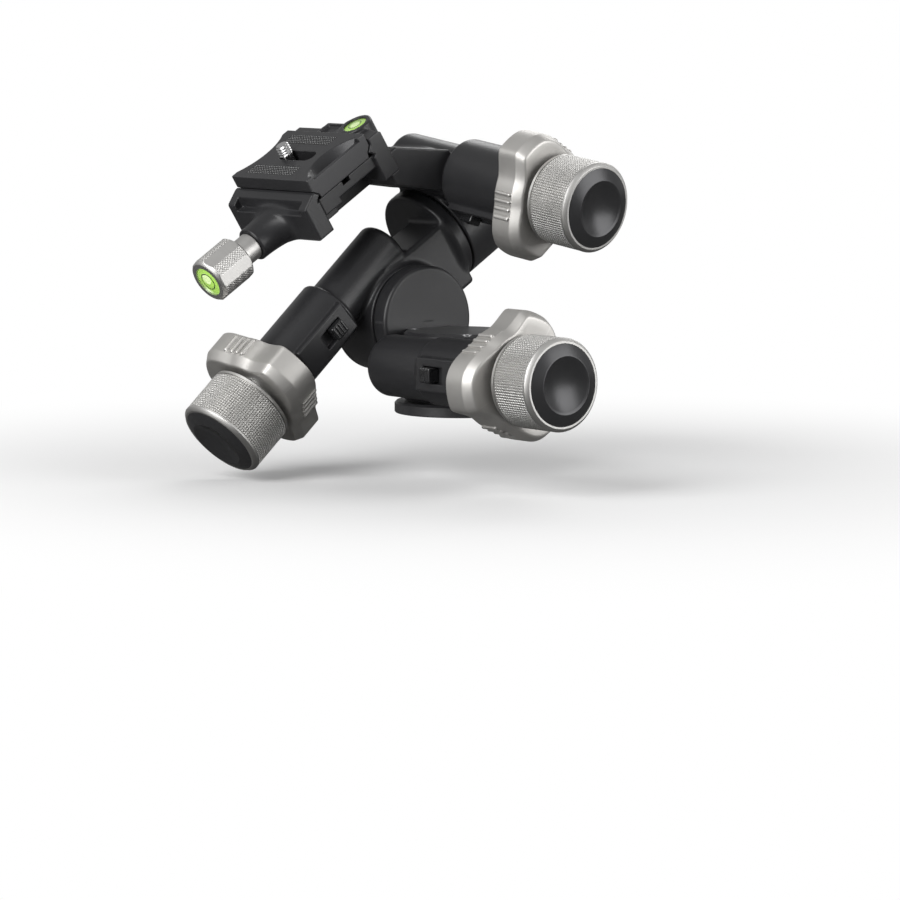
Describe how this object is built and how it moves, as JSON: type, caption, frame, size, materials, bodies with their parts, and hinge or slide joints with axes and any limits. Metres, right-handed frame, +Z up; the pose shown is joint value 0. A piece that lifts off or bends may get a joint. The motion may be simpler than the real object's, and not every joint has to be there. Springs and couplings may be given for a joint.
{
  "type": "geared tripod head",
  "caption": "Three-axis geared head with winged clutch rings, knurled knobs and a quick-release camera clamp, tilted forward",
  "frame": {"origin": "centre of the mouth of the tripod thread, in the plane of the base's underside", "axes": "+Z up along the pan axis; +X along the tilt axis and the pan knob's barrel; -Y is the way the head is tilted and the clamp's knob points"},
  "size_m": [0.1984, 0.1805, 0.1589],
  "materials": {
    "black_casting": "satin black powder coat on cast aluminium",
    "black_anodised": "matte black anodised, milled",
    "dark_anodised": "satin black anodised, turned",
    "champagne_anodised": "bead-blasted champagne-grey anodised",
    "silver_anodised": "knurled, silver anodised, with bright turned rims",
    "plain_steel": "turned and ground",
    "plain_aluminium": "turned, hard anodised",
    "polished_steel": "polished stainless steel",
    "bronze": "machined bronze",
    "black_plastic": "moulded, fine texture",
    "pad_rubber": "ribbed rubber",
    "level_fluid": "clear acrylic level filled with green fluid"
  },
  "bodies": {
    "root": {"base_flange": "black_casting", "base_insert": "plain_steel", "base_screws": "plain_steel", "pan_slip_ring": "black_plastic", "pan_post": "plain_aluminium", "pan_wheel": "bronze", "pan_post_nut": "plain_steel"},
    "pan_head": {"pan_case": "black_casting", "pan_cover": "black_casting", "pan_cover_screws": "plain_steel", "pan_bushes": "bronze", "tilt_slip_ring": "black_plastic", "tilt_post": "plain_aluminium", "tilt_wheel": "bronze", "tilt_post_nut": "plain_steel"},
    "pan_drive": {"pan_worm": "plain_steel", "pan_knob": "silver_anodised", "pan_knob_screw": "plain_steel", "pan_knob_cap": "dark_anodised"},
    "pan_clutch": {"pan_clutch_sleeve": "plain_aluminium", "pan_clutch_ring": "champagne_anodised"},
    "pan_lock": {"pan_latch": "black_plastic"},
    "tilt_head": {"tilt_case": "black_casting", "tilt_cover": "black_casting", "tilt_cover_screws": "plain_steel", "tilt_bushes": "bronze", "roll_slip_ring": "black_plastic", "roll_post": "plain_aluminium", "roll_wheel": "bronze", "roll_post_nut": "plain_steel"},
    "tilt_drive": {"tilt_worm": "plain_steel", "tilt_knob": "silver_anodised", "tilt_knob_screw": "plain_steel", "tilt_knob_cap": "dark_anodised"},
    "tilt_clutch": {"tilt_clutch_sleeve": "plain_aluminium", "tilt_clutch_ring": "champagne_anodised"},
    "tilt_lock": {"tilt_latch": "black_plastic"},
    "roll_head": {"roll_case": "black_casting", "roll_cover": "black_casting", "roll_cover_screws": "plain_steel", "roll_bushes": "bronze", "clamp_body": "black_casting", "clamp_bolts": "plain_steel", "clamp_level": "level_fluid", "quick_plate": "black_anodised", "plate_pads": "pad_rubber", "plate_stops": "plain_steel"},
    "roll_drive": {"roll_worm": "plain_steel", "roll_knob": "silver_anodised", "roll_knob_screw": "plain_steel", "roll_knob_cap": "dark_anodised"},
    "roll_clutch": {"roll_clutch_sleeve": "plain_aluminium", "roll_clutch_ring": "champagne_anodised"},
    "roll_lock": {"roll_latch": "black_plastic"},
    "jaw": {"clamp_jaw": "black_casting", "jaw_pins": "plain_steel"},
    "clamp_drive": {"clamp_screw": "polished_steel", "clamp_knob": "silver_anodised", "knob_level": "level_fluid"},
    "camera_thread": {"camera_screw": "polished_steel"}
  },
  "joints": [
    {"name": "pan_turn", "type": "hinge", "parent": "root", "child": "pan_head", "pos_m": [0, 0, 0.022], "axis": [0, 0, 1], "continuous": true},
    {"name": "pan_knob_turn", "type": "hinge", "parent": "pan_head", "child": "pan_drive", "pos_m": [0, -0.029, 0.022], "axis": [1, 0, 0], "continuous": true},
    {"name": "pan_clutch_turn", "type": "hinge", "parent": "pan_head", "child": "pan_clutch", "pos_m": [0, -0.029, 0.022], "axis": [1, 0, 0], "range_deg": [0, 25], "stiffness_Nm_per_rad": 0.4},
    {"name": "pan_lock_slide", "type": "slide", "parent": "pan_head", "child": "pan_lock", "axis": [1, 0, 0], "range_m": [0, 0.005]},
    {"name": "tilt_turn", "type": "hinge", "parent": "pan_head", "child": "tilt_head", "pos_m": [-0.0475, 0, 0.0402], "axis": [1, 0, 0], "range_deg": [-62.5, 57.5]},
    {"name": "tilt_knob_turn", "type": "hinge", "parent": "tilt_head", "child": "tilt_drive", "pos_m": [-0.0475, -0.0194, 0.06175], "axis": [0, -0.7431, -0.6691], "range_deg": [-2501, 2301]},
    {"name": "tilt_clutch_turn", "type": "hinge", "parent": "tilt_head", "child": "tilt_clutch", "pos_m": [-0.0475, -0.0194, 0.06175], "axis": [0, -0.7431, -0.6691], "range_deg": [0, 25], "stiffness_Nm_per_rad": 0.4},
    {"name": "tilt_lock_slide", "type": "slide", "parent": "tilt_head", "child": "tilt_lock", "axis": [0, -0.7431, -0.6691], "range_m": [0, 0.005]},
    {"name": "roll_turn", "type": "hinge", "parent": "tilt_head", "child": "roll_head", "pos_m": [-0.058, 0.04239, 0.0844], "axis": [0, 0.8434, 0.5373], "range_deg": [-90, 27]},
    {"name": "roll_knob_turn", "type": "hinge", "parent": "roll_head", "child": "roll_drive", "pos_m": [-0.05321, 0.02702, 0.10852], "axis": [0.9863, 0.0887, -0.1392], "range_deg": [-3601, 1081]},
    {"name": "roll_clutch_turn", "type": "hinge", "parent": "roll_head", "child": "roll_clutch", "pos_m": [-0.05321, 0.02702, 0.10852], "axis": [0.9863, 0.0887, -0.1392], "range_deg": [0, 25], "stiffness_Nm_per_rad": 0.4},
    {"name": "roll_lock_slide", "type": "slide", "parent": "roll_head", "child": "roll_lock", "axis": [0.9863, 0.0887, -0.1392], "range_m": [0, 0.005]},
    {"name": "jaw_slide", "type": "slide", "parent": "roll_head", "child": "jaw", "axis": [0, -0.8434, -0.5373], "range_m": [0, 0.003]},
    {"name": "clamp_knob_turn", "type": "hinge", "parent": "jaw", "child": "clamp_drive", "pos_m": [-0.058, -0.09807, 0.06013], "axis": [0, -0.8434, -0.5373], "range_deg": [0, 1080]},
    {"name": "camera_screw_turn", "type": "hinge", "parent": "roll_head", "child": "camera_thread", "pos_m": [-0.066, -0.04809, 0.11568], "axis": [0, -0.5373, 0.8434], "continuous": true}
  ],
  "couplings": [
    {"joint": "pan_knob_turn", "follows": "pan_turn", "ratio": 40},
    {"joint": "tilt_knob_turn", "follows": "tilt_turn", "ratio": 40},
    {"joint": "roll_knob_turn", "follows": "roll_turn", "ratio": 40},
    {"joint": "clamp_knob_turn", "follows": "jaw_slide", "rad_per_m": 6282.6}
  ]
}
